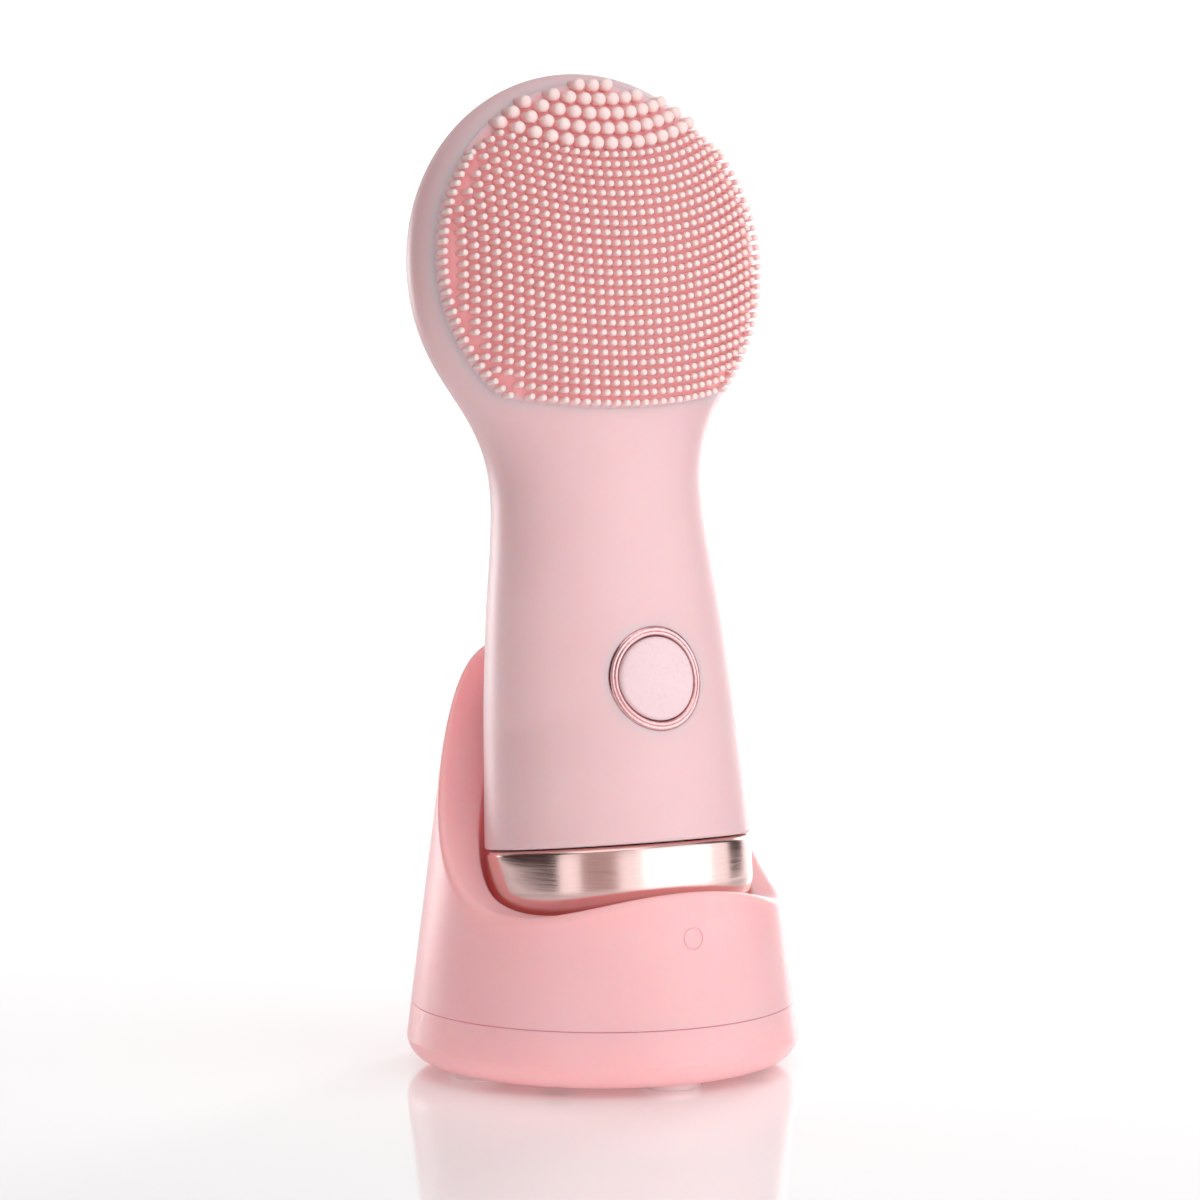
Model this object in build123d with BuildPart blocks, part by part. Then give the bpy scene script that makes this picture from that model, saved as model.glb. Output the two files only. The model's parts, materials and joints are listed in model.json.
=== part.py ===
from build123d import *
import os
from math import cos, radians, sin

# Facial cleansing brush standing in its charging dock. Millimetres, +Z up, front towards -Y.
# The origin is on the surface that the dock stands on, at the centre of the dock.

# ---------------------------------------------------------------- driving dimensions
lean = 7.2                      # degrees that the handset leans back in its dock
seat_y, seat_z = -5.4, 39.0     # where the handset's axis crosses the body's bottom edge

# handset body: stations up the axis from the body's bottom edge, half width, half depth
body_stations = [
    (0.0, 23.4, 19.2), (8.0, 23.05, 18.75), (16.0, 22.65, 18.2), (24.0, 22.25, 17.6),
    (32.0, 21.6, 16.9), (40.0, 20.85, 16.1), (48.0, 19.85, 15.25), (56.0, 19.1, 14.5),
    (64.0, 19.5, 13.95), (72.0, 22.7, 13.65), (80.0, 28.0, 13.5), (88.0, 31.6, 13.45),
    (97.2, 32.8, 13.5),
]
head_s, head_radius, head_depth = body_stations[-1]
shell_wall = 3.0

# bristle pad on the head
pad_radius = 30.6               # its round edge
pad_arc_radius = 86.0           # its lower edge, an arc about a point above the head's centre
pad_arc_centre = 61.0
pad_base = 1.6                  # thickness of the pad behind its bristles
bristle_length = 2.5
pad_gap = 0.2
pad_ledge = 3.5                 # width of the ledge that the pad's edge lies on

# band and bottom cap under the body
band_gap = 0.25
band_round_start = 7.0          # distance below the body where the band starts to round in
band_length = 14.0
band_round_in = 5.0
band_wall = 2.4
lip_height = 2.5
flange_height = 2.0

# button
button_s = 27.0
cap_radius = 7.0
bezel_radius = 8.7
cap_proud, bezel_proud = 0.5, 0.3
button_travel = 0.4
running_gap = 0.15
stem_radius = 2.0

# chassis, board and battery, in the handset's own depth direction (front is negative)
board_front = -7.6
board_thick = 1.2
board_width, board_bottom, board_top = 22.0, 6.0, 54.0
tray_front, tray_thick = -5.0, 1.5
battery_radius, battery_length, battery_depth, battery_bottom = 7.0, 48.0, 3.6, 4.0
foot_s, foot_thick = -8.2, 1.6

# motor across the head
can_radius, can_left, can_right = 6.0, -9.0, 7.0
shaft_radius, shaft_right = 0.75, 15.5
weight_radius, weight_left, weight_right = 5.3, 9.2, 14.8
sleeve_radius, sleeve_left, sleeve_right = 7.2, -6.4, 4.4
fit = 0.03                      # gap left in a close fit
cap_gap = 0.05                  # gap left round a part that drops in

# charging contacts and pins
contact_x, contact_radius, contact_recess = 6.0, 1.7, 0.6
barrel_radius, plunger_radius, tip_radius = 1.5, 0.92, 0.7
pin_travel = 0.8

# dock
seam_z, seam_radius = 11.4, 32.6
cone_slope = 0.125              # radius lost for each millimetre of height
cone_top = 80.0
dock_wall = 2.4
base_low, base_round_z, base_round_radius = 1.5, 5.4, 29.6
base_floor = 2.0
cup_clearance, cup_wall, cup_floor_gap = 0.8, 2.2, 0.3
cup_draft_height, cup_draft = 60.0, 1.0
rim_thick = 3.0
foot_circle, foot_radius, foot_sink = 23.5, 5.0, 0.8
screw_circle, screw_angle = 27.0, 45
dock_boss_radius, dock_boss_height = 2.8, 9.0
dock_pilot_radius, dock_clear_radius = 1.1, 1.3
head_recess_radius, head_recess = 2.3, 1.6
mark_z, mark_radius, mark_line = 26.0, 1.9, 0.3
mark_face = seam_radius - cone_slope * (mark_z - seam_z)
mark_depth = 0.3
rim_line = [                    # side view of the dock's rim: distance back, height
    (-34.0, 36.6), (-29.2, 33.7), (-17.5, 29.4), (-7.8, 30.8), (1.4, 37.1),
    (7.0, 43.6), (12.4, 52.6), (17.2, 62.6), (21.6, 69.8), (27.0, 74.0),
]

handset = Plane(
    origin=(0, seat_y, seat_z), x_dir=(1, 0, 0),
    z_dir=(0, sin(radians(lean)), cos(radians(lean))),
)


# ---------------------------------------------------------------- planes
def level(s):
    """A plane square to the handset's axis, s above the body's bottom edge."""
    return handset.offset(s)


def facing(s, depth, x=0.0):
    """A plane that looks out of the handset's front, at height s and the given depth."""
    return Plane(
        origin=handset.from_local_coords((x, depth, s)), x_dir=(1, 0, 0),
        z_dir=-handset.y_dir,
    )


def across(s, x, depth=0.0):
    """A plane that looks along +X, at height s; its own x runs to the handset's back."""
    return Plane(
        origin=handset.from_local_coords((x, depth, s)), x_dir=handset.y_dir,
        z_dir=(1, 0, 0),
    )


# ---------------------------------------------------------------- shared forms
def body_form(inset):
    """The body's outer form moved inwards by inset: a lofted handle under a round head."""
    with BuildPart() as form:
        for s, half_width, half_depth in body_stations:
            with BuildSketch(level(s)):
                Ellipse(half_width - inset, half_depth - inset)
        loft()
        with BuildSketch(level(head_s)):
            Ellipse(head_radius - inset, head_depth - inset)
            Rectangle(
                2 * head_radius, 4 * head_depth, align=(Align.MAX, Align.CENTER), mode=Mode.SUBTRACT
            )
        revolve(axis=Axis(level(head_s).origin, -handset.y_dir), revolution_arc=180)
    return form.part


def pad_prism(inset):
    """A block of the pad's outline moved inwards by inset, from the head's middle to its front."""
    with BuildPart() as prism:
        with BuildSketch(facing(head_s, 0)):
            Circle(pad_radius - inset)
            with Locations((0, pad_arc_centre)):
                Circle(pad_arc_radius - inset, mode=Mode.INTERSECT)
        extrude(amount=2 * head_depth)
    return prism.part


def round_in(s):
    """How far the band has rounded in at height s."""
    return band_round_in * (max(0.0, -band_round_start - s) / (band_length - band_round_start)) ** 2


def band_form(grow, low, top):
    """The band's outer form grown by grow, straight above and rounded in below."""
    a0, b0 = body_stations[0][1] + grow, body_stations[0][2] + grow
    with BuildPart() as form:
        with BuildSketch(level(-band_round_start)):
            Ellipse(a0, b0)
        extrude(amount=top + band_round_start)
        for step in range(5):
            s = -band_round_start - step * (band_length - band_round_start) / 4
            with BuildSketch(level(s + low * step / 4)):
                Ellipse(a0 - round_in(s), b0 - round_in(s))
        loft()
    return form.part


def cup_form(grow):
    """The hollow that takes the handset: the band's form with clearance, drafted open above."""
    clear = cup_clearance + grow
    a0, b0 = body_stations[0][1] + clear, body_stations[0][2] + clear
    lower = band_form(clear, -cup_floor_gap - grow, -band_round_start + 1)
    with BuildPart() as form:
        add(lower)
        for s, flare in ((-band_round_start, 0.0), (cup_draft_height, cup_draft)):
            with BuildSketch(level(s)):
                Ellipse(a0 + flare, b0 + flare)
        loft()
    return form.part


def cone_form(inset, low):
    """The dock's outer cone moved inwards by inset, from height low up."""
    def radius(z):
        return seam_radius - cone_slope * (z - seam_z) - inset
    with BuildPart() as form:
        with BuildSketch(Plane.XZ) as side:
            Polygon((0, low), (radius(low), low), (radius(cone_top), cone_top), (0, cone_top), align=None)
        revolve(axis=Axis.Z)
    return form.part


def above_rim(drop):
    """Everything above the dock's rim line, lowered by drop."""
    line = [(y, z - drop) for y, z in rim_line]
    with BuildPart() as region:
        with BuildSketch(Plane.YZ):
            with BuildLine():
                Spline(line)
                Polyline(line[-1], (60, line[-1][1]), (60, 120), (-60, 120), (-60, line[0][1]), line[0])
            make_face()
        extrude(amount=seam_radius + 10, both=True)
    return region.part


def save(piece, name):
    piece.part.label = name
    export_step(piece.part, f"parts/{name}.step")


os.makedirs("parts", exist_ok=True)
body_outer = body_form(0)

# ---------------------------------------------------------------- body shell
carrier_inset = pad_base + 0.1
carrier_thick = 1.5
boss_radius, pilot_radius = 2.5, 0.9
boss_x, boss_s, boss_face = 18.0, 10.0, -4.0
boss_spots = [(x, s) for x in (-boss_x, boss_x) for s in (head_s - boss_s, head_s + boss_s)]
foot_screw_x = 17.4
foot_boss_low, foot_boss_high = 0.2, 14.0
bezel_inset = 1.6
button_reach = 15.0             # length of the tools that cut the button's seat
button_tool_depth = -10.0       # where those tools start, behind the seat

pad_back_form = body_form(pad_base)
carrier_front_form = body_form(carrier_inset)
carrier_back_form = body_form(carrier_inset + carrier_thick)
inner_form = body_form(shell_wall)
recess_tool = pad_prism(-pad_gap) - carrier_front_form
opening_tool = pad_prism(pad_ledge)

bezel_back_form = body_form(bezel_inset)
with BuildPart() as bezel_seat:
    with BuildSketch(facing(button_s, button_tool_depth)):
        Circle(bezel_radius + fit)
    extrude(amount=button_reach)
    add(bezel_back_form, mode=Mode.SUBTRACT)

with BuildPart() as cavity:
    add(inner_form)
    for x, s in boss_spots:
        with BuildSketch(facing(s, head_depth, x)):
            Circle(boss_radius)
        extrude(amount=head_depth - boss_face, mode=Mode.SUBTRACT)
        with BuildSketch(facing(s, boss_face, x)):
            Circle(pilot_radius)
        extrude(amount=-2 * abs(boss_face))
    for x in (-foot_screw_x, foot_screw_x):
        with BuildSketch(level(foot_boss_low)):
            with Locations((x, 0)):
                Circle(boss_radius)
                Circle(pilot_radius, mode=Mode.SUBTRACT)
        extrude(amount=foot_boss_high, mode=Mode.SUBTRACT)

with BuildPart() as body_shell:
    add(body_outer)
    for tool in (cavity.part, recess_tool, opening_tool, bezel_seat.part):
        add(tool, mode=Mode.SUBTRACT)
    for x, s in boss_spots:
        with BuildSketch(facing(s, 0, x)):
            Circle(boss_radius)
            Circle(pilot_radius, mode=Mode.SUBTRACT)
        extrude(amount=-boss_face)
    with BuildSketch(facing(button_s, button_tool_depth)):
        Circle(cap_radius + 2 * running_gap)
    extrude(amount=button_reach, mode=Mode.SUBTRACT)
save(body_shell, "body_shell")

# ---------------------------------------------------------------- bristle pad
# a plain solid out to the bristles' tips: the body's form moved forward by their length
tips_form = body_outer.moved(Location(handset.y_dir * -bristle_length))
pad_block = pad_prism(0)
with BuildPart() as bristle_pad:
    add(pad_block)
    add(tips_form, mode=Mode.INTERSECT)
    add(pad_back_form, mode=Mode.SUBTRACT)
save(bristle_pad, "bristle_pad")

# ---------------------------------------------------------------- pad carrier with its motor saddle
saddle_half = 11.5
saddle_wall = 1.8
sleeve_seat = sleeve_radius + fit
clamp_screw_s = 9.6
split_gap = 0.1                 # between saddle and clamp

with BuildPart() as saddle:
    with BuildSketch(across(head_s, sleeve_left)):
        with Locations((-split_gap / 2, 0)):
            Rectangle(head_depth, 2 * saddle_half, align=(Align.MAX, Align.CENTER))
        Circle(sleeve_seat, mode=Mode.SUBTRACT)
    extrude(amount=sleeve_right - sleeve_left)

carrier_block = pad_prism(pad_ledge + pad_gap)
with BuildPart() as pad_carrier:
    add(carrier_block)
    add(carrier_back_form, mode=Mode.SUBTRACT)
    for x, s in boss_spots:
        with BuildSketch(facing(s, boss_face - 0.05, x)):
            Circle(boss_radius)
        extrude(amount=head_depth)
    add(saddle.part)
    add(carrier_front_form, mode=Mode.INTERSECT)
    for x, s in boss_spots:
        with BuildSketch(facing(s, 0, x)):
            Circle(pilot_radius + 0.2)
        extrude(amount=head_depth, mode=Mode.SUBTRACT)
        with BuildSketch(facing(s, boss_face - 2, x)):
            Circle(2.0)
        extrude(amount=head_depth, mode=Mode.SUBTRACT)
    for s in (head_s - clamp_screw_s, head_s + clamp_screw_s):
        with BuildSketch(facing(s, 0, (sleeve_left + sleeve_right) / 2)):
            Circle(pilot_radius)
        extrude(amount=5, mode=Mode.SUBTRACT)
save(pad_carrier, "pad_carrier")

# ---------------------------------------------------------------- screws, drawn as a head and a shank
def screw(plane, head_r, head_h, shank_r, shank_l):
    """A screw whose head sits on the plane, on its +z side, with the shank going the other way."""
    with BuildPart() as item:
        with BuildSketch(plane):
            Circle(head_r)
        extrude(amount=head_h)
        chamfer(item.faces().sort_by(Axis(plane.origin, plane.z_dir))[-1].edges(), 0.2 * head_h)
        with BuildSketch(plane.offset(head_h)):
            Rectangle(1.4 * head_r, 0.3 * head_r)
            Rectangle(0.3 * head_r, 1.4 * head_r)
        extrude(amount=-0.5 * head_h, mode=Mode.SUBTRACT)
        with BuildSketch(plane):
            Circle(shank_r)
        extrude(amount=-shank_l)
    return item.part


def save_group(items, name):
    with BuildPart() as group:
        for item in items:
            add(item)
    save(group, name)


shank_radius = pilot_radius - fit
save_group([screw(facing(s, boss_face - 2, x), 1.8, 1.2, shank_radius, 5.0) for x, s in boss_spots],
           "carrier_screws")

# ---------------------------------------------------------------- motor, its sleeve and its clamp
clamp_x = (sleeve_left + sleeve_right) / 2
flange_thick = 2.4
with BuildPart() as motor_clamp:
    with BuildSketch(across(head_s, sleeve_left)):
        Circle(sleeve_seat + saddle_wall)
        with Locations((split_gap / 2, 0)):
            Rectangle(flange_thick, 2 * saddle_half, align=(Align.MIN, Align.CENTER))
        Circle(sleeve_seat, mode=Mode.SUBTRACT)
        with Locations((split_gap / 2, 0)):
            Rectangle(head_depth, 4 * saddle_half, align=(Align.MAX, Align.CENTER), mode=Mode.SUBTRACT)
    extrude(amount=sleeve_right - sleeve_left)
    for s in (head_s - clamp_screw_s, head_s + clamp_screw_s):
        with BuildSketch(facing(s, 0, clamp_x)):
            Circle(pilot_radius + 0.2)
        extrude(amount=-head_depth, mode=Mode.SUBTRACT)
        with BuildSketch(facing(s, split_gap / 2 + flange_thick, clamp_x)):
            Circle(1.75)
        extrude(amount=-head_depth, mode=Mode.SUBTRACT)
save(motor_clamp, "motor_clamp")


def backing(s, depth, x=0.0):
    """A plane that looks out of the handset's back."""
    return Plane(
        origin=handset.from_local_coords((x, depth, s)), x_dir=(1, 0, 0), z_dir=handset.y_dir
    )


save_group([screw(backing(s, split_gap / 2 + flange_thick, clamp_x), 1.6, 1.1, shank_radius, 6.5)
            for s in (head_s - clamp_screw_s, head_s + clamp_screw_s)], "clamp_screws")

with BuildPart() as motor_sleeve:
    with BuildSketch(across(head_s, sleeve_left)):
        Circle(sleeve_radius)
        Circle(can_radius + fit, mode=Mode.SUBTRACT)
    extrude(amount=sleeve_right - sleeve_left)
save(motor_sleeve, "motor_sleeve")

with BuildPart() as motor_can:
    with BuildSketch(across(head_s, can_left)):
        Circle(can_radius)
    extrude(amount=can_right - can_left)
    chamfer(motor_can.edges().filter_by(GeomType.CIRCLE), 0.5)
    with BuildSketch(across(head_s, can_right)):
        Circle(2.2)
    extrude(amount=1.0)
    with BuildSketch(across(head_s, can_left + 1)):
        Circle(shaft_radius + 0.05)
    extrude(amount=can_right - can_left + 1, mode=Mode.SUBTRACT)
save(motor_can, "motor_can")

with BuildPart() as motor_end_cap:
    with BuildSketch(across(head_s, can_left - fit)):
        Circle(can_radius - 0.5)
    extrude(amount=-1.5)
    with BuildSketch(across(head_s, can_left - fit - 1.5)):
        with Locations((0, -3), (0, 3)):
            Rectangle(0.4, 1.6)
    extrude(amount=-2.2)
save(motor_end_cap, "motor_end_cap")

with BuildPart() as motor_shaft:
    with BuildSketch(across(head_s, can_left + 1.2)):
        Circle(shaft_radius)
    extrude(amount=shaft_right - can_left - 1.2)
save(motor_shaft, "motor_shaft")

with BuildPart() as eccentric_weight:
    with BuildSketch(across(head_s, weight_left)):
        Circle(weight_radius)
        Rectangle(2 * weight_radius, weight_radius, align=(Align.CENTER, Align.MIN), mode=Mode.SUBTRACT)
        Circle(2.2)
        Circle(shaft_radius + 0.01, mode=Mode.SUBTRACT)
    extrude(amount=weight_right - weight_left)
save(eccentric_weight, "eccentric_weight")

# ---------------------------------------------------------------- button, its bezel and its seal
cap_floor = -15.5
stem_end = -11.6
seal_thick = 0.8
bezel_front_form = body_form(-bezel_proud)
bezel_seat_form = body_form(bezel_inset - fit)
cap_front_form = body_form(-cap_proud)
seal_front_form = body_form(shell_wall + cap_gap)
seal_back_form = body_form(shell_wall + cap_gap + seal_thick)
with BuildPart() as button_bezel:
    with BuildSketch(facing(button_s, button_tool_depth)):
        Circle(bezel_radius)
        Circle(cap_radius + running_gap, mode=Mode.SUBTRACT)
    extrude(amount=button_reach)
    add(bezel_front_form, mode=Mode.INTERSECT)
    add(bezel_seat_form, mode=Mode.SUBTRACT)
save(button_bezel, "button_bezel")

with BuildPart() as button_cap:
    with BuildSketch(facing(button_s, cap_floor)):
        Circle(cap_radius)
    extrude(amount=button_reach)
    add(cap_front_form, mode=Mode.INTERSECT)
    with BuildSketch(facing(button_s, stem_end)):
        Circle(stem_radius)
    extrude(amount=stem_end - cap_floor)
save(button_cap, "button_cap")

with BuildPart() as button_seal:
    with BuildSketch(facing(button_s, 0)):
        Circle(bezel_radius)
        Circle(stem_radius + running_gap, mode=Mode.SUBTRACT)
    extrude(amount=2 * head_depth)
    add(seal_front_form, mode=Mode.INTERSECT)
    add(seal_back_form, mode=Mode.SUBTRACT)
save(button_seal, "button_seal")

# ---------------------------------------------------------------- tact switch on the board
switch_size, switch_height, switch_floor = 6.0, 2.6, 0.6
nub_radius = 1.6
switch_face = board_front - fit - switch_height
with BuildPart() as tact_switch:
    with BuildSketch(facing(button_s, board_front - fit)):
        Rectangle(switch_size, switch_size)
    extrude(amount=switch_height)
    chamfer(tact_switch.faces().sort_by(Axis.Y)[0].edges(), 0.3)
    with BuildSketch(facing(button_s, switch_face)):
        Circle(nub_radius + running_gap)
    extrude(amount=switch_floor - switch_height, mode=Mode.SUBTRACT)
save(tact_switch, "tact_switch")

with BuildPart() as switch_plunger:
    with BuildSketch(facing(button_s, stem_end + fit)):
        Circle(nub_radius)
    extrude(amount=stem_end + fit - switch_face - (switch_height - switch_floor) + 2 * button_travel)
save(switch_plunger, "switch_plunger")

# ---------------------------------------------------------------- board, its components, tray and battery
standoff_spots = [(x, s) for x in (-9, 9) for s in (board_bottom + 3, board_top - 3)]
board_back = board_front + board_thick
with BuildPart() as main_board:
    with BuildSketch(facing((board_bottom + board_top) / 2, board_back)) as outline:
        Rectangle(board_width, board_top - board_bottom)
        fillet(outline.vertices(), 2)
        for x, s in standoff_spots:
            with Locations((x, s - (board_bottom + board_top) / 2)):
                Circle(0.9, mode=Mode.SUBTRACT)
    extrude(amount=board_thick)
save(main_board, "main_board")

chips = [                       # across, up the axis, width, height, thickness
    (0, 42, 7, 7, 1.0), (-7.5, 35, 3, 4, 1.1), (7.5, 35, 3, 4, 1.1), (-7, 15, 4, 4, 1.8),
    (7, 15, 5, 3, 0.9), (-8, 46, 2, 1.2, 0.6), (8, 46, 2, 1.2, 0.6),
]
with BuildPart() as board_components:
    for x, s, wide, high, thick in chips:
        with BuildSketch(facing(s, board_front - fit, x)):
            Rectangle(wide, high)
        extrude(amount=thick)
save(board_components, "board_components")

tray_back = tray_front + tray_thick
foot_half_width, foot_half_depth = 20.6, 16.3
cap_screw_depth = 9.0
cradle_stations = (14.0, 42.0)
post_radius = 2.4
with BuildPart() as inner_chassis:
    with BuildSketch(level(foot_s)):
        Ellipse(foot_half_width, foot_half_depth)
        with Locations((0, -cap_screw_depth), (0, cap_screw_depth)):
            Circle(pilot_radius, mode=Mode.SUBTRACT)
    extrude(amount=foot_thick)
    with BuildSketch(facing((foot_s + board_top) / 2 + 1, tray_back)):
        Rectangle(board_width - 2, board_top - foot_s + 2)
    extrude(amount=tray_thick)
    for x, s in standoff_spots:
        with BuildSketch(facing(s, tray_front, x)):
            Circle(1.6)
        extrude(amount=tray_front - board_back - fit)
    for s in cradle_stations:
        with BuildSketch(level(s)):
            with Locations((0, tray_back - 0.5)):
                Rectangle(
                    2 * battery_radius + 4, battery_depth - tray_back + 2, align=(Align.CENTER, Align.MIN)
                )
            with Locations((0, battery_depth)):
                Circle(battery_radius + 0.1, mode=Mode.SUBTRACT)
        extrude(amount=3)
    for x in (-foot_screw_x, foot_screw_x):
        with BuildSketch(level(foot_s + foot_thick)):
            with Locations((x, 0)):
                Circle(post_radius)
        extrude(amount=foot_boss_low - 0.05 - foot_s - foot_thick)
        with BuildSketch(level(foot_s)):
            with Locations((x, 0)):
                Circle(pilot_radius + 0.2)
        extrude(amount=10, mode=Mode.SUBTRACT)
save(inner_chassis, "inner_chassis")

with BuildPart() as battery:
    with BuildSketch(level(battery_bottom)):
        with Locations((0, battery_depth)):
            Circle(battery_radius)
    extrude(amount=battery_length)
    chamfer(battery.edges().filter_by(GeomType.CIRCLE), 0.4)
    with BuildSketch(level(battery_bottom + battery_length)):
        with Locations((0, battery_depth)):
            Circle(2.6)
    extrude(amount=1.2)
save(battery, "battery")


def down_screw(x, depth, s, head_r, head_h, length):
    """A screw driven upwards along the handset's axis, with its head's seat at height s."""
    seat = Plane(
        origin=handset.from_local_coords((x, depth, s)), x_dir=(1, 0, 0), z_dir=-handset.z_dir
    )
    return screw(seat, head_r, head_h, shank_radius, length)


save_group([down_screw(x, 0, foot_s, 1.9, 1.1, 13.0) for x in (-foot_screw_x, foot_screw_x)],
           "chassis_screws")

# ---------------------------------------------------------------- band, bottom cap, seal and contacts
lip_top = -band_length + lip_height
band_in_x, band_in_y = body_stations[0][1] - band_wall, body_stations[0][2] - band_wall
mouth_x, mouth_y = 15.4, 11.2
with BuildPart() as metal_band:
    add(band_form(0, 0, -band_gap))
    with BuildSketch(level(lip_top)):
        Ellipse(band_in_x, band_in_y)
    extrude(amount=band_length, mode=Mode.SUBTRACT)
    with BuildSketch(level(-band_length)):
        Ellipse(mouth_x, mouth_y)
    extrude(amount=lip_height, mode=Mode.SUBTRACT)
save(metal_band, "metal_band")

contact_spots = ((-contact_x, 0), (contact_x, 0))
cap_screw_spots = ((0, -cap_screw_depth), (0, cap_screw_depth))
with BuildPart() as bottom_cap:
    with BuildSketch(level(-band_length)):
        Ellipse(mouth_x - cap_gap, mouth_y - cap_gap)
    extrude(amount=lip_height + cap_gap)
    with BuildSketch(level(lip_top + cap_gap)):
        Ellipse(band_in_x - 0.2, band_in_y - 0.2)
    extrude(amount=flange_height)
    for spot in contact_spots:
        with BuildSketch(level(-band_length)):
            with Locations(spot):
                Circle(contact_radius + fit)
        extrude(amount=lip_height + flange_height + 1, mode=Mode.SUBTRACT)
    for spot in cap_screw_spots:
        with BuildSketch(level(-band_length)):
            with Locations(spot):
                Circle(pilot_radius + 0.2)
        extrude(amount=lip_height + flange_height + 1, mode=Mode.SUBTRACT)
        with BuildSketch(level(-band_length)):
            with Locations(spot):
                Circle(2.1)
        extrude(amount=1.5, mode=Mode.SUBTRACT)
save(bottom_cap, "bottom_cap")
save_group([down_screw(0, depth, -band_length + 1.5, 1.9, 1.2, 6.5) for _, depth in cap_screw_spots],
           "cap_screws")

flange_top = lip_top + cap_gap + flange_height
with BuildPart() as bottom_seal:
    with BuildSketch(level(flange_top + fit)):
        Ellipse(band_in_x - 0.1, band_in_y - 0.1)
        Ellipse(band_in_x - 1.3, band_in_y - 1.3, mode=Mode.SUBTRACT)
    extrude(amount=foot_s - flange_top - 3 * fit)
save(bottom_seal, "bottom_seal")

with BuildPart() as charge_contacts:
    for spot in contact_spots:
        with BuildSketch(level(-band_length + contact_recess)):
            with Locations(spot):
                Circle(contact_radius)
        extrude(amount=flange_top - (-band_length + contact_recess) + 0.6)
save(charge_contacts, "charge_contacts")

# ---------------------------------------------------------------- dock shell
cup = cup_form(0)
cup_floor = -band_length - cup_floor_gap
bore_gap = 0.05
inner_cone = cone_form(dock_wall, 0)
outer_cone = cone_form(0, seam_z)
cut_inside, cut_outside = above_rim(rim_thick), above_rim(0)
cup_skin = cup_form(cup_wall)
with BuildPart() as dock_hollow:
    add(inner_cone)
    add(cut_inside, mode=Mode.SUBTRACT)
    add(cup_skin, mode=Mode.SUBTRACT)
    for corner in range(4):
        angle = radians(screw_angle + 90 * corner)
        with BuildSketch(Plane.XY.offset(seam_z)):
            with Locations((screw_circle * sin(angle), screw_circle * cos(angle))):
                Circle(dock_boss_radius)
                Circle(dock_pilot_radius, mode=Mode.SUBTRACT)
        extrude(amount=dock_boss_height, mode=Mode.SUBTRACT)

with BuildPart() as dock_shell:
    add(outer_cone)
    add(cut_outside, mode=Mode.SUBTRACT)
    add(cup, mode=Mode.SUBTRACT)
    add(dock_hollow.part, mode=Mode.SUBTRACT)
    for spot in contact_spots:
        with BuildSketch(level(cup_floor - cup_wall - 2)):
            with Locations(spot):
                Circle(barrel_radius + bore_gap)
        extrude(amount=cup_wall + 4, mode=Mode.SUBTRACT)
    with BuildSketch(Plane(origin=(0, -mark_face, mark_z), x_dir=(1, 0, 0), z_dir=(0, -1, cone_slope))):
        Circle(mark_radius)
        Circle(mark_radius - mark_line, mode=Mode.SUBTRACT)
    extrude(amount=mark_depth, both=True, mode=Mode.SUBTRACT)
save(dock_shell, "dock_shell")

# ---------------------------------------------------------------- dock base
seam_gap = 0.12
base_top = seam_z - seam_gap
base_outer = seam_radius + cone_slope * (seam_z - base_round_z)
floor_top = base_low + base_floor
usb_z, usb_half_width, usb_half_height, usb_face = 9.0, 4.5, 1.6, 32.4
board_top_z = usb_z - usb_half_height - fit
dock_board_thick = 1.2
board_posts = [(x, y) for x in (-9.5, 9.5) for y in (14.5, 24.5)]
with BuildPart() as dock_base:
    with BuildSketch(Plane.XZ):
        with BuildLine():
            l1 = Polyline((0, base_low), (base_round_radius, base_low))
            l2 = ThreePointArc(l1 @ 1, (base_outer - 1.1, base_low + 1.3), (base_outer, base_round_z))
            Polyline(
                l2 @ 1, (seam_radius + cone_slope * seam_gap, base_top),
                (seam_radius - dock_wall, base_top), (seam_radius - dock_wall, floor_top),
                (0, floor_top), l1 @ 0,
            )
        make_face()
    revolve(axis=Axis.Z)
    for corner in range(4):
        angle = radians(screw_angle + 90 * corner)
        spot = (screw_circle * sin(angle), screw_circle * cos(angle))
        with BuildSketch(Plane.XY.offset(floor_top)):
            with Locations(spot):
                Circle(dock_boss_radius)
        extrude(amount=base_top - floor_top)
        with BuildSketch(Plane.XY.offset(base_low)):
            with Locations(spot):
                Circle(dock_clear_radius)
        extrude(amount=seam_z, mode=Mode.SUBTRACT)
        with BuildSketch(Plane.XY.offset(base_low)):
            with Locations(spot):
                Circle(head_recess_radius)
        extrude(amount=head_recess, mode=Mode.SUBTRACT)
    with BuildSketch(Plane.XY.offset(base_low)):
        with PolarLocations(foot_circle, 4):
            Circle(foot_radius + 0.1)
    extrude(amount=foot_sink, mode=Mode.SUBTRACT)
    for spot in board_posts:
        with BuildSketch(Plane.XY.offset(floor_top)):
            with Locations(spot):
                Circle(1.8)
        extrude(amount=board_top_z - dock_board_thick - fit - floor_top)
    with BuildSketch(Plane.XZ.offset(-25)):
        with Locations((0, usb_z)):
            SlotOverall(2 * usb_half_width + 0.3, 2 * usb_half_height + 0.3)
    extrude(amount=-12, mode=Mode.SUBTRACT)
save(dock_base, "dock_base")

with BuildPart() as feet:
    with BuildSketch():
        with PolarLocations(foot_circle, 4):
            Circle(foot_radius)
    extrude(amount=base_low + foot_sink - fit)
    chamfer(feet.faces().group_by(Axis.Z)[0].edges(), 0.4)
save(feet, "feet")

dock_screws = []
for corner in range(4):
    angle = radians(screw_angle + 90 * corner)
    seat = Plane(
        origin=(screw_circle * sin(angle), screw_circle * cos(angle), base_low + head_recess),
        x_dir=(1, 0, 0), z_dir=(0, 0, -1),
    )
    dock_screws.append(screw(seat, 2.1, 1.3, dock_pilot_radius - 0.05, 14.0))
save_group(dock_screws, "dock_screws")

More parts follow.
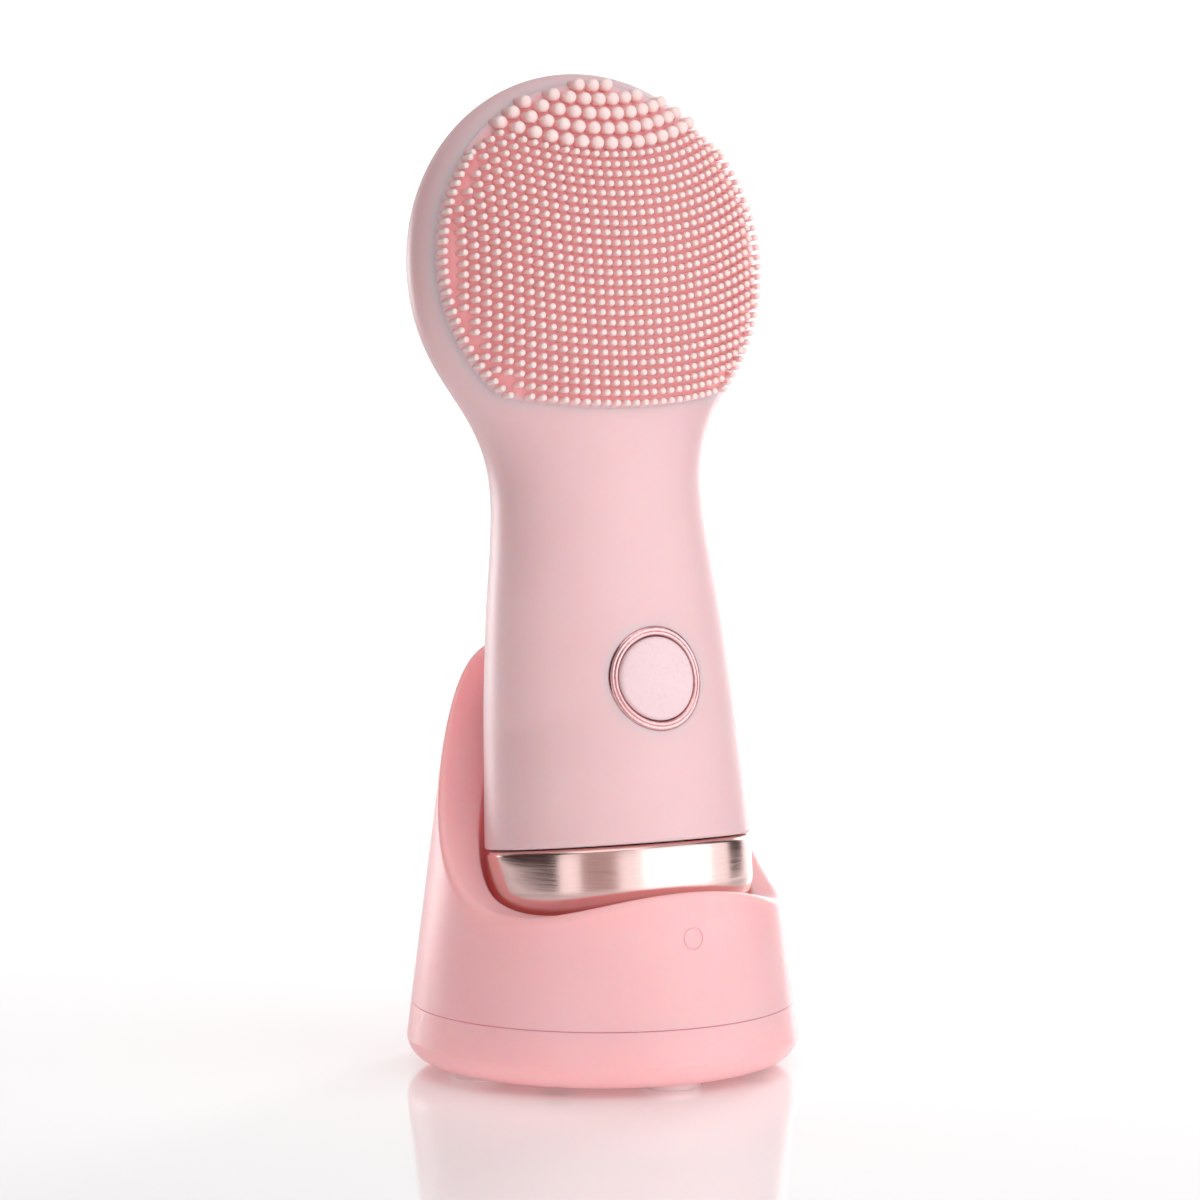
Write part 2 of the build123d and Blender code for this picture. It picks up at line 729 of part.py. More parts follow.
ballast_radius, ballast_back, ballast_thick = 22.5, 10.0, 4.0
with BuildPart() as ballast_plate:
    with BuildSketch(Plane.XY.offset(floor_top + fit)):
        Circle(ballast_radius)
        with Locations((0, ballast_back)):
            Rectangle(60, 60, align=(Align.CENTER, Align.MIN), mode=Mode.SUBTRACT)
        with Locations((-15, 0), (15, 0)):
            Circle(1.5, mode=Mode.SUBTRACT)
    extrude(amount=ballast_thick)
save(ballast_plate, "ballast_plate")

with BuildPart() as dock_board:
    with BuildSketch(Plane.XY.offset(board_top_z - dock_board_thick)):
        with Locations((0, 19.5)):
            Rectangle(24, 14)
        with Locations((0, 26)):
            Rectangle(11, 5)
        with Locations(board_posts):
            Circle(0.9, mode=Mode.SUBTRACT)
    extrude(amount=dock_board_thick)
save(dock_board, "dock_board")

with BuildPart() as dock_components:
    for x, y, wide, deep, thick in ((-8.5, 19.5, 4, 4, 1.0), (8.5, 19.5, 5, 4, 2.0), (0, 15, 3, 3, 0.9)):
        with BuildSketch(Plane.XY.offset(board_top_z + fit)):
            with Locations((x, y)):
                Rectangle(wide, deep)
        extrude(amount=thick)
save(dock_components, "dock_components")

usb_depth, usb_skin = 7.2, 0.3
with BuildPart() as usb_socket:
    with BuildSketch(Plane.XZ.offset(-usb_face)):
        with Locations((0, usb_z)):
            SlotOverall(2 * usb_half_width, 2 * usb_half_height)
    extrude(amount=usb_depth)
    with BuildSketch(Plane.XZ.offset(-usb_face)):
        with Locations((0, usb_z)):
            SlotOverall(2 * (usb_half_width - usb_skin), 2 * (usb_half_height - usb_skin))
            Rectangle(6.7, 0.7, mode=Mode.SUBTRACT)
    extrude(amount=usb_depth - 1, mode=Mode.SUBTRACT)
save(usb_socket, "usb_socket")

# ---------------------------------------------------------------- charging pins under the cup
block_top = cup_floor - cup_wall - 0.1
block_height, block_deep, block_wide = 5.0, 7.0, 20.0
barrel_low = block_top - block_height + 0.8
barrel_top = cup_floor - 0.1
retainer = 0.6                  # lip that keeps the plunger in its barrel
pin_tip = -band_length + contact_recess - 0.06
shoulder = barrel_top - retainer - 0.02
with BuildPart() as pin_block:
    with BuildSketch(level(block_top)):
        Rectangle(block_wide, block_deep)
        with Locations(contact_spots):
            Circle(barrel_radius + fit, mode=Mode.SUBTRACT)
    extrude(amount=-block_height)
save(pin_block, "pin_block")

with BuildPart() as pin_barrels:
    with BuildSketch(level(barrel_low)):
        with Locations(contact_spots):
            Circle(barrel_radius)
    extrude(amount=barrel_top - barrel_low)
    with BuildSketch(level(barrel_low + 0.6)):
        with Locations(contact_spots):
            Circle(plunger_radius + 0.06)
    extrude(amount=barrel_top - retainer - barrel_low - 0.6, mode=Mode.SUBTRACT)
    with BuildSketch(level(barrel_top)):
        with Locations(contact_spots):
            Circle(tip_radius + 0.08)
    extrude(amount=-retainer - 0.1, mode=Mode.SUBTRACT)
save(pin_barrels, "pin_barrels")

for side, spot in (("left", contact_spots[0]), ("right", contact_spots[1])):
    with BuildPart() as charge_pin:
        with BuildSketch(level(shoulder)):
            with Locations(spot):
                Circle(plunger_radius)
        extrude(amount=-(shoulder - barrel_low - 0.6 - pin_travel - 0.3))
        with BuildSketch(level(shoulder)):
            with Locations(spot):
                Circle(tip_radius)
        extrude(amount=pin_tip - shoulder)
        fillet(charge_pin.faces().sort_by(Axis.Z)[-1].edges(), 0.45)
    save(charge_pin, f"charge_pin_{side}")

# ---------------------------------------------------------------- leads: straight stretches and arcs
lead_radius = 0.45


def lead(points, bend):
    """A thin insulated wire through the given points."""
    with BuildPart() as wire:
        with BuildLine() as path:
            FilletPolyline(*points, radius=bend)
        with BuildSketch(Plane(path.line @ 0, z_dir=path.line % 0)):
            Circle(lead_radius)
        sweep()
    return wire.part


def inside(x, depth, s):
    return handset.from_local_coords((x, depth, s))


save_group([lead([(x, 15.0, board_top_z + 0.6), (x, 15.0, 11.5), (x, -1.0, 12.5),
                  inside(x, 0.0, barrel_low - 4.0), inside(x, 0.0, barrel_low - 0.1)], 1.5)
            for x in (-contact_x, contact_x)], "dock_leads")
lead_depth = board_front - 0.6  # leads lie on the board's front face
lead_start, lead_crest = 50.0, 59.0
tab_x = can_left - 3.0
motor_routes = (
    [(-7.0, lead_depth, lead_start), (-7.0, lead_depth, lead_crest), (-10.0, -4.0, 74.0),
     (tab_x, -0.7, 86.0), (tab_x, -0.7, head_s - 3)],
    [(-4.0, lead_depth, lead_start), (-4.0, lead_depth, lead_crest), (-6.0, 3.0, 76.0),
     (tab_x, 0.7, 88.0), (tab_x, 0.7, head_s + 3)],
)
save_group([lead([inside(*point) for point in route], 3.0) for route in motor_routes], "motor_leads")

battery_top = battery_bottom + battery_length + 1.3
save_group([lead([inside(x, battery_depth, battery_top), inside(x, battery_depth, lead_crest),
                  inside(x, lead_depth, lead_crest), inside(x, lead_depth, lead_start)], 3.0)
            for x in (2.0, 5.0)], "battery_leads")
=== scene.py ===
import json
import math

import bmesh
import bpy
import numpy as np
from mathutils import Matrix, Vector

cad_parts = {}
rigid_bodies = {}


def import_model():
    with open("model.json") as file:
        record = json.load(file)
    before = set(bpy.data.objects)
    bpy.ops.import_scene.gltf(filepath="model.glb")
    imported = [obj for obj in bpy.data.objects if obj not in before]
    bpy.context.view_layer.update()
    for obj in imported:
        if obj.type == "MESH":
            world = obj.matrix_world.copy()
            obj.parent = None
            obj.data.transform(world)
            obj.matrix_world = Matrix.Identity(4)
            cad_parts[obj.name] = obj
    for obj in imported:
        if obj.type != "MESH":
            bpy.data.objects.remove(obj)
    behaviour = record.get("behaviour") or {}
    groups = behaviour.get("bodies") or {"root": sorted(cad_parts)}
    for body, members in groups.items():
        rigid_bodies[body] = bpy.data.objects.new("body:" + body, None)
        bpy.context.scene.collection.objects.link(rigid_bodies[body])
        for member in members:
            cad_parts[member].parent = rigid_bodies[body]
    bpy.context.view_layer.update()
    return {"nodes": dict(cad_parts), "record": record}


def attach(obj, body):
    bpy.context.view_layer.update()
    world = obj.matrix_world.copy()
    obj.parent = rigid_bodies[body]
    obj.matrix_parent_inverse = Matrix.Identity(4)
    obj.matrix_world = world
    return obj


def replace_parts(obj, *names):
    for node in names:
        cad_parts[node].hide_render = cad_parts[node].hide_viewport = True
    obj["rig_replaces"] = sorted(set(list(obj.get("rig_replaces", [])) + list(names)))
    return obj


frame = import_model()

# Facial cleansing brush in its charging dock. The dimensions are the CAD's, in millimetres;
# meshes are made in millimetres and scaled to metres as they are created.
MM = 0.001
LEAN = math.radians(7.2)
SEAT_Y, SEAT_Z = -5.4, 39.0
STATIONS = np.array([
    (0.0, 23.4, 19.2), (8.0, 23.05, 18.75), (16.0, 22.65, 18.2), (24.0, 22.25, 17.6),
    (32.0, 21.6, 16.9), (40.0, 20.85, 16.1), (48.0, 19.85, 15.25), (56.0, 19.1, 14.5),
    (64.0, 19.5, 13.95), (72.0, 22.7, 13.65), (80.0, 28.0, 13.5), (88.0, 31.6, 13.45),
    (97.2, 32.8, 13.5),
])
FOOT_A, FOOT_B = STATIONS[0][1:]
HEAD_S, HEAD_R, HEAD_D = STATIONS[-1] - (0, 0.012, 0)      # the head's top stays inside the CAD's
SHELL_WALL = 3.0
PAD_R, PAD_ARC_R, PAD_ARC_C = 30.6, 86.0, 61.0
PAD_CORNER = 1.6                # how softly the pad's circle turns into its lower arc
PAD_BASE, BRISTLE = 1.6, 2.5
BUTTON_S, CAP_R, BEZEL_R = 27.0, 7.0, 8.7
BEFORE = -25.0                  # a depth in front of the whole handset, where cutters start
BAND_LOW, BAND_START, BAND_IN = 14.0, 7.0, 5.0
SEAM_Z, SEAM_R, SLOPE, WALL = 11.4, 32.6, 0.125, 2.4
CUP_CLEAR, CUP_WALL, CUP_GAP = 0.8, 2.2, 0.3
RIM_THICK = 3.0
LEAST_GAP, LEAST_ROOF = 1.2, 20.0       # the hollow between cup and cone, and its roof's height
RIM = np.array([
    (-34.0, 36.6), (-29.2, 33.7), (-17.5, 29.4), (-7.8, 30.8), (1.4, 37.1),
    (7.0, 43.6), (12.4, 52.6), (17.2, 62.6), (21.6, 69.8), (27.0, 74.0),
])
PIN_X, PIN_HOLE_R = 6.0, 1.55
AROUND = 288                    # points round each ring
SHARP = 35                      # degrees from which an edge is shaded sharp


# ---------------------------------------------------------------- curves and forms
def cubic(xs, ys, start=None, end=None):
    """A cubic spline through the points, with given end slopes or natural ends."""
    n, h = len(xs), np.diff(xs)
    rows, right = np.zeros((n, n)), np.zeros(n)
    rows[0, 0] = rows[-1, -1] = 1
    if start is not None:
        rows[0, :2] = 2 * h[0], h[0]
        right[0] = 6 * ((ys[1] - ys[0]) / h[0] - start)
    if end is not None:
        rows[-1, -2:] = h[-1], 2 * h[-1]
        right[-1] = 6 * (end - (ys[-1] - ys[-2]) / h[-1])
    for i in range(1, n - 1):
        rows[i, i - 1:i + 2] = h[i - 1], 2 * (h[i - 1] + h[i]), h[i]
        right[i] = 6 * ((ys[i + 1] - ys[i]) / h[i] - (ys[i] - ys[i - 1]) / h[i - 1])
    bend = np.linalg.solve(rows, right)

    def at(x):
        i = np.clip(np.searchsorted(xs, x) - 1, 0, n - 2)
        a, b = (xs[i + 1] - x) / h[i], (x - xs[i]) / h[i]
        curve = (a**3 - a) * bend[i] + (b**3 - b) * bend[i + 1]
        return a * ys[i] + b * ys[i + 1] + curve * h[i]**2 / 6
    return at


half_width = cubic(STATIONS[:, 0], STATIONS[:, 1], end=0)
half_depth = cubic(STATIONS[:, 0], STATIONS[:, 2], end=0)
chord = np.concatenate(([0], np.cumsum(np.hypot(*np.diff(RIM, axis=0).T))))
rim_t = np.linspace(0, chord[-1], 2000)
rim_y, rim_z = cubic(chord, RIM[:, 0])(rim_t), cubic(chord, RIM[:, 1])(rim_t)


def rim_height(y):
    return np.interp(y, rim_y, rim_z)


def world(x, depth, s):
    """Handset coordinates, across, backwards and up its axis, as points in the frame."""
    x, depth, s = np.broadcast_arrays(np.asarray(x, float), depth, s)
    return np.stack([x, SEAT_Y + depth * math.cos(LEAN) + s * math.sin(LEAN),
                     SEAT_Z - depth * math.sin(LEAN) + s * math.cos(LEAN)], -1)


def front(x, s, inset=0.0):
    """Depth of the body's front face, moved inwards by inset, at each place across and up."""
    low = np.minimum(s, HEAD_S)
    a, b = half_width(low) - inset, half_depth(low) - inset
    rise = np.maximum(s - HEAD_S, 0) / (HEAD_R - inset)
    return -b * np.sqrt(np.clip(1 - (x / a)**2 - rise**2, 0, 1))


turn = np.arange(AROUND) * 2 * math.pi / AROUND
cos_t, sin_t = np.cos(turn), np.sin(turn)


def ring(a, b, s):
    return world(a * cos_t, b * sin_t, s)


def mesh_from(name, points, faces, sharp=SHARP):
    """A smooth-shaded mesh object from points in millimetres, its faces turned outwards."""
    mesh = bpy.data.meshes.new(name)
    mesh.from_pydata([tuple(p) for p in np.asarray(points) * MM], [], faces)
    work = bmesh.new()
    work.from_mesh(mesh)
    bmesh.ops.recalc_face_normals(work, faces=work.faces)
    work.to_mesh(mesh)
    work.free()
    mesh.polygons.foreach_set("use_smooth", [True] * len(mesh.polygons))
    mesh.set_sharp_from_angle(angle=math.radians(sharp))
    obj = bpy.data.objects.new(name, mesh)
    bpy.context.scene.collection.objects.link(obj)
    return obj


def ring_faces(count, rings, first=0):
    """Quads between each ring and the next."""
    faces = []
    for r in range(rings - 1):
        low, high = first + r * count, first + (r + 1) * count
        for i in range(count):
            after = (i + 1) % count
            faces.append((low + i, low + after, high + after, high + i))
    return faces


def skin(name, rings, ends="poles", sharp=SHARP):
    """A closed mesh over a list of rings: closed by a pole at each end, or joined last to first."""
    count = len(rings[0])
    points = np.concatenate(rings)
    faces = ring_faces(count, len(rings))
    last = (len(rings) - 1) * count
    if ends == "loop":
        faces += [(last + i, last + (i + 1) % count, (i + 1) % count, i) for i in range(count)]
        return mesh_from(name, points, faces, sharp)
    n = len(points)
    points = np.concatenate([points, [rings[0].mean(0), rings[-1].mean(0)]])
    faces += [(n, (i + 1) % count, i) for i in range(count)]
    faces += [(n + 1, last + i, last + (i + 1) % count) for i in range(count)]
    return mesh_from(name, points, faces, sharp)


def cut(obj, tool):
    """Cuts tool out of obj and removes tool."""
    step = obj.modifiers.new("step", "BOOLEAN")
    step.operation, step.object = "DIFFERENCE", tool
    step.solver = "EXACT"
    bpy.context.view_layer.update()
    shaped = obj.evaluated_get(bpy.context.evaluated_depsgraph_get())
    mesh = bpy.data.meshes.new_from_object(shaped)
    obj.modifiers.clear()
    obj.data = mesh
    bpy.data.objects.remove(tool)
    mesh.polygons.foreach_set("use_smooth", [True] * len(mesh.polygons))
    mesh.set_sharp_from_angle(angle=math.radians(SHARP))


def arc_steps(steps):
    """Sine and cosine at even steps over a quarter turn, without its two ends."""
    angles = np.linspace(0, math.pi / 2, steps + 2)[1:-1]
    return list(zip(np.sin(angles), np.cos(angles)))


def front_ring(centre_s, radius, inset):
    """A ring on the body's front face round a place on its axis; radius may change round it."""
    x, s = radius * cos_t, centre_s + radius * sin_t
    return world(x, front(x, s, inset), s)


def flat_ring(centre_s, radius, depth):
    return world(radius * cos_t, depth, centre_s + radius * sin_t)


def pad_edge(inset=0.0):
    """The pad's outline round the head's centre: a circle cut by the lower arc, corners rounded."""
    round_r, arc_r = PAD_R - inset, PAD_ARC_R - inset
    arc = PAD_ARC_C * sin_t + np.sqrt((PAD_ARC_C * sin_t)**2 - PAD_ARC_C**2 + arc_r**2)
    mix = np.clip(0.5 + 0.5 * (arc - round_r) / PAD_CORNER, 0, 1)
    return arc * (1 - mix) + round_r * mix - PAD_CORNER * mix * (1 - mix)


# ---------------------------------------------------------------- handset body
def body_rings(inset, steps, top_steps):
    """Rings from the head's top down to the body's bottom edge."""
    rings = []
    for phi in np.linspace(math.pi / 2, 0, top_steps + 1)[1:-1]:
        rings.append(ring((HEAD_R - inset) * math.cos(phi), (HEAD_D - inset) * math.cos(phi),
                          HEAD_S + (HEAD_R - inset) * math.sin(phi)))
    for s in np.linspace(HEAD_S, 0, steps):
        rings.append(ring(half_width(s) - inset, half_depth(s) - inset, s))
    return rings


edge = 0.5                      # rounding of the body's bottom edge
outer = body_rings(0, 150, 56)[:-1]
low_edge = []
for u, v in [(0, 1)] + arc_steps(5) + [(1, 0)]:
    s, inset = edge * (1 - u), edge * (1 - v)
    low_edge.append(ring(half_width(s) - inset, half_depth(s) - inset, s))
inner = body_rings(SHELL_WALL, 50, 20)[::-1]
body = skin("body_skin", outer + low_edge + inner)

pad_gap, ledge = 0.01, 3.5      # clearance round the pad, and the shelf that it is glued to
recess_edge = pad_edge(-pad_gap)
recess_rings = [flat_ring(HEAD_S, recess_edge * f, BEFORE) for f in (0.5, 1.0)]
recess_rings += [front_ring(HEAD_S, recess_edge * f, PAD_BASE + 0.1) for f in np.linspace(1, 0.05, 20)]
cut(body, skin("recess", recess_rings))
cut(body, skin("opening", [flat_ring(HEAD_S, pad_edge(ledge), depth) for depth in (BEFORE, 0.0)]))
seat_r, hole_r, hole_end = BEZEL_R + 0.03, CAP_R + 0.3, -8.0
seat_rings = [flat_ring(BUTTON_S, seat_r, BEFORE)]
seat_rings += [front_ring(BUTTON_S, seat_r * f, PAD_BASE) for f in (1, 0.8, 0.5, 0.2)]
cut(body, skin("seat", seat_rings))
cut(body, skin("hole", [flat_ring(BUTTON_S, hole_r, depth) for depth in (BEFORE, hole_end)]))

# ---------------------------------------------------------------- bristle pad
rim_f = 0.03                    # rounding of the pad's edge
pad_shares = np.linspace(0.02, 0.97, 48)
pad_rings = [front_ring(HEAD_S, pad_edge() * f, 0) for f in pad_shares]
pad_rings += [front_ring(HEAD_S, pad_edge(rim_f * (1 - u)), rim_f * (1 - v)) for u, v in
              [(0, 1)] + arc_steps(3) + [(1, 0)]]
pad_rings += [front_ring(HEAD_S, pad_edge() * f, PAD_BASE) for f in (1, 0.9, 0.7, 0.4, 0.05)]
pad = skin("pad_base", pad_rings)
fade_start, fade_width = 0.952, 0.035   # where the pad's painted coral shade between the bristles fades into the body's colour at its margin
margin = [min(1.0, max(0.0, (f - fade_start) / fade_width)) for f in pad_shares]
margin += [1.0] * (len(pad_rings) - len(margin))
# the margin attribute runs from 0 under the bristles, where shade is painted, to 1 at the pad's edge
margin_of = pad.data.attributes.new("margin", "FLOAT", "POINT")
margin_of.data.foreach_set("value", np.repeat(margin, AROUND).tolist() + [0.0, 1.0])


def bristle_rings(radius, length, sink):
    """Radius, height and colour step of each ring of a bristle, from its root to its rounded tip; the
    colour step paints shade, darker towards the root and light on the tip.
    """
    crown = 0.62 * radius
    shaft = length - crown
    rows = [(1.0, -sink, 0.0), (0.98, 0.0, 0.1), (0.95, 0.15 * length, 0.35), (0.95, 0.35 * length, 0.6),
            (0.97, 0.55 * length, 0.78), (1.0, shaft, 0.86)]
    rows += [(math.cos(a)**0.8, shaft + crown * math.sin(a), 0.88 + 0.12 * math.sin(a))
             for a in np.radians((20, 38, 54, 68, 80))]
    return [(radius * f, h, c) for f, h, c in rows]


fine_r, big_r = 0.54, 1.09
fine_pitch, big_pitch, ring_pitch = 1.76, 2.66, 1.68
ring_r, ring_low, ring_top = 30.0, -47.0, 36.5  # the bristles that line the pad's sides
fine_rows = np.linspace(43.5, 85.2, 26)
big_rows = 41.5 - 2.6 * np.arange(6)
spots = []                      # across, up from the head's centre, radius, how far the painted shade on the shaft is lifted


def row_of_spots(row_r, pitch, radius, limit, low_limit, shade_lift):
    """Spots at an even pitch along an arc about the pad arc's centre, inside the pad's limits."""
    ring_end = ring_r * math.sin(math.radians(ring_top))
    for k in range(-40, 41):
        angle = k * pitch / row_r
        x, up = row_r * math.sin(angle), PAD_ARC_C - row_r * math.cos(angle)
        if abs(angle) < 1.4 and math.hypot(x, up) < (limit if up > ring_end else low_limit):
            spots.append((x, up, radius, shade_lift))


for row_r in fine_rows:
    row_of_spots(row_r, fine_pitch, fine_r, 30.1, 28.8, 0.0)
for row_r in big_rows:
    row_of_spots(row_r, big_pitch, big_r, 30.2, 30.2, 0.15)
# the side bristles' shafts get their painted shade lifted most, so they stay light
for side in (-1, 1):
    for angle in np.radians(np.arange(ring_low, ring_top, math.degrees(ring_pitch / ring_r))):
        spots.append((side * ring_r * math.cos(angle), ring_r * math.sin(angle), fine_r, 0.75))

points, faces, painted_shade_tint = [], [], []
for x, up, radius, shade_lift in spots:
    count = 18 if radius == big_r else 12
    angles = np.arange(count) * 2 * math.pi / count
    s = HEAD_S + up
    root = float(front(x, s))
    farther = float(front(x * 1.02, HEAD_S + up * 1.02))
    slope = abs(farther - root) / (0.02 * math.hypot(x, up) + 1e-9)
    rows = bristle_rings(radius, BRISTLE, min(0.3 + radius * slope, PAD_BASE))
    first = len(points)
    for r, h, c in rows:
        points += list(world(x + r * np.cos(angles), root - h, s + r * np.sin(angles)))
        # painted shade: each bristle is coloured darker towards its root, lifted on the shafts of the big
        # and side bristles
        painted_shade_tint += [max(c, shade_lift * (0.4 + 0.6 * (h > 0)))] * count
    faces += ring_faces(count, len(rows), first)
    points += list(world(np.array([x, x]), np.array([root - rows[0][1], root - BRISTLE]), s))
    painted_shade_tint += [0.0, 1.0]
    low, high, last = len(points) - 2, len(points) - 1, first + (len(rows) - 1) * count
    faces += [(low, first + (i + 1) % count, first + i) for i in range(count)]
    faces += [(high, last + i, last + (i + 1) % count) for i in range(count)]
bristles = mesh_from("bristles", np.array(points), faces, 80)
bristles.data.attributes.new("tip", "FLOAT", "POINT").data.foreach_set("value", painted_shade_tint)

# ---------------------------------------------------------------- button and bezel
cap_stand, cap_round = 0.5, 0.55        # how far the cap stands out, and its edge's rounding
stem_r, cap_back, stem_end = 2.0, -15.2, -11.6
cap_rings = [front_ring(BUTTON_S, r, -cap_stand) for r in np.linspace(0.15, CAP_R - cap_round, 14)]
cap_rings += [front_ring(BUTTON_S, CAP_R - cap_round * (1 - u), -cap_stand + cap_round * (1 - v))
              for u, v in arc_steps(5) + [(1, 0)]]
cap_profile = [
    (CAP_R, cap_back - 0.1), (CAP_R - 0.1, cap_back), (stem_r + 0.1, cap_back), (stem_r, cap_back + 0.1),
    (stem_r, stem_end - 0.1), (stem_r - 0.1, stem_end), (0.4, stem_end),
]
cap_rings += [flat_ring(BUTTON_S, r, depth) for r, depth in cap_profile]
cap = skin("button_pearl", cap_rings)

bezel_in = CAP_R + 0.15
bezel_profile = [
    (BEZEL_R, 1.6), (BEZEL_R, 0.05), (8.64, -0.1), (8.5, -0.24), (8.32, -0.3), (8.02, -0.3), (7.94, -0.26),
    (7.88, -0.2), (7.82, -0.26), (7.74, -0.3), (7.5, -0.28), (7.32, -0.2), (7.2, -0.06), (bezel_in, 0.1),
    (bezel_in, 1.6),
]
bezel = skin("bezel_ring", [front_ring(BUTTON_S, r, i) for r, i in bezel_profile], "loop", 60)


# ---------------------------------------------------------------- metal band
def band_in(s):
    return BAND_IN * (max(0.0, -BAND_START - s) / (BAND_LOW - BAND_START))**2


band_rows = [(-2.4, -0.25), (-0.62, -0.25), (-0.5, -0.29), (-0.12, -0.82), (-0.03, -0.95), (0.0, -1.12)]
band_rows += [(0.0, s) for s in (-3.0, -5.0, -7.0)]
band_rows += [(-band_in(s), s) for s in np.linspace(-7.4, -BAND_LOW + 0.25, 18)]
band_rows += [(-BAND_IN - 0.25, -BAND_LOW)]
band_rings = [ring(FOOT_A + grow, FOOT_B + grow, s) for grow, s in band_rows]
opening_a, opening_b, floor_top = 15.4, 11.2, -BAND_LOW + 2.5
band_rings += [ring(opening_a, opening_b, s) for s in (-BAND_LOW, floor_top)]
band_rings.append(ring(FOOT_A - 2.4, FOOT_B - 2.4, floor_top))
band = skin("band_metal", band_rings, "loop", 40)


# ---------------------------------------------------------------- dock shell
def cone_radius(z, inset=0.0):
    return SEAM_R - SLOPE * (z - SEAM_Z) - inset


def cup_point(s, grow=0.0):
    """Points round the cup's wall at height s on the handset's axis; s may change round it."""
    drop = BAND_LOW - BAND_START + CUP_GAP + grow
    below = np.clip((-BAND_START - s) / drop, 0, 1)
    clear = CUP_CLEAR + grow + np.maximum(s + BAND_START, 0) / 67.0 - BAND_IN * below**2
    return world((FOOT_A + clear) * cos_t, (FOOT_B + clear) * sin_t, s)


def bisect(test, low, high):
    """Where test, positive below and negative above, changes sign, for each point of a ring."""
    low, high = np.full(AROUND, float(low)), np.full(AROUND, float(high))
    for _ in range(50):
        mid = (low + high) / 2
        up = test(mid) > 0
        low, high = np.where(up, mid, low), np.where(up, high, mid)
    return (low + high) / 2


def under_rim(points):
    """How far each point lies below the rim's slope."""
    return rim_height(points[:, 1]) - points[:, 2]


cup_low = -BAND_LOW - CUP_GAP
rim_s = bisect(lambda s: under_rim(cup_point(s)), cup_low, 60)
rim_in = cup_point(rim_s)
azimuth = np.arctan2(rim_in[:, 1], rim_in[:, 0])
out_dir = np.stack([np.cos(azimuth), np.sin(azimuth), np.zeros(AROUND)], -1)
up_dir = np.array([0.0, 0.0, 1.0])


def cone_point(z, inset=0.0):
    z = np.broadcast_to(z, (AROUND,))
    return out_dir * cone_radius(z, inset)[:, None] + up_dir * z[:, None]


rim_out_z = bisect(lambda z: under_rim(cone_point(z)), SEAM_Z, 80)
rim_out = cone_point(rim_out_z)


def on_rim(share):
    """Points across the rim's face: 0 at its outer edge, 1 at its inner edge."""
    flat = rim_out + (rim_in - rim_out) * np.broadcast_to(share, (AROUND,))[:, None]
    flat[:, 2] = rim_height(flat[:, 1])
    return flat


def corner(a, peak, b, steps):
    """A rounded corner from a to b whose tangents meet at peak, without its two ends."""
    rings = []
    for t in np.linspace(0, 1, steps + 2)[1:-1]:
        p, q = a + (peak - a) * 0.6, b + (peak - b) * 0.6
        rings.append(a * (1 - t)**3 + 3 * p * t * (1 - t)**2 + 3 * q * t**2 * (1 - t) + b * t**3)
    return rings


rim_width = np.linalg.norm(rim_in - rim_out, axis=1)
outer_leg, inner_leg = 1.7, 0.45        # how far the rim's two rounded corners reach
first_share, last_share = np.minimum(outer_leg / rim_width, 0.45), 1 - inner_leg / rim_width
shoulder_z = rim_out_z - outer_leg
shoulder_a, shoulder_b = cone_point(shoulder_z), on_rim(first_share)
lip_a, lip_b = on_rim(last_share), cup_point(rim_s - inner_leg)
side_z = SEAM_Z + 0.1
shell_rings = [cone_point(SEAM_Z), cone_point(side_z)]
shell_rings += [cone_point(side_z + (shoulder_z - side_z) * t) for t in np.linspace(0, 1, 40)[1:-1]]
shell_rings += [shoulder_a] + corner(shoulder_a, rim_out, shoulder_b, 9)
shell_rings += [on_rim(first_share + (last_share - first_share) * t) for t in np.linspace(0, 1, 12)]
shell_rings += corner(lip_a, rim_in, lip_b, 4) + [lip_b]
cup_end = np.full(AROUND, cup_low)
shell_rings += [cup_point(rim_s - inner_leg + (cup_end - rim_s + inner_leg) * t)
                for t in np.linspace(0, 1, 50)[1:]]
floor_mid = world(0, 0, cup_low)
floor_shares = (0.95, 0.7, 0.4, 0.1)
shell_rings += [shell_rings[-1] * f + floor_mid * (1 - f) for f in floor_shares]
split = len(shell_rings)        # the rings from here on line the hollow under the cup

# the hollow's roof follows the rim, kept lower where the cup's wall comes near the cone's
roof_z = np.minimum(rim_height(cone_point(rim_out_z, WALL)[:, 1]) - RIM_THICK, rim_out_z - 4)
skin_low = cup_low - CUP_WALL


def cup_skin_at(z):
    """Distance out from the dock's middle to the cup's outer skin at height z, along each azimuth."""
    far = np.zeros(AROUND)
    for s in np.linspace(skin_low, 50, 160):
        p = cup_point(np.full(AROUND, s), CUP_WALL)
        near = np.abs(p[:, 2] - z) < 0.5
        far = np.where(near, np.maximum(far, np.hypot(p[:, 0], p[:, 1])), far)
    return far


for _ in range(60):
    tight = cone_radius(roof_z, WALL) - cup_skin_at(roof_z) < LEAST_GAP
    roof_z = np.where(tight & (roof_z > LEAST_ROOF), roof_z - 0.5, roof_z)
for _ in range(12):
    roof_z = (np.roll(roof_z, 1) + roof_z + np.roll(roof_z, -1)) / 3 - 0.02
roof_s = bisect(lambda s: roof_z - cup_point(s, CUP_WALL)[:, 2], skin_low, 60)
under = [cup_point(skin_low + (roof_s - skin_low) * t, CUP_WALL) for t in np.linspace(0, 1, 24)]
skin_mid = world(0, 0, skin_low)
shell_rings += [under[0] * f + skin_mid * (1 - f) for f in floor_shares[::-1]] + under
roof_edge = cone_point(roof_z, WALL)
shell_rings += [under[-1] * (1 - t) + roof_edge * t for t in (0.33, 0.67, 1.0)]
shell_rings += [cone_point(SEAM_Z + (roof_z - SEAM_Z) * t, WALL) for t in (0.75, 0.5, 0.25, 0.0)]


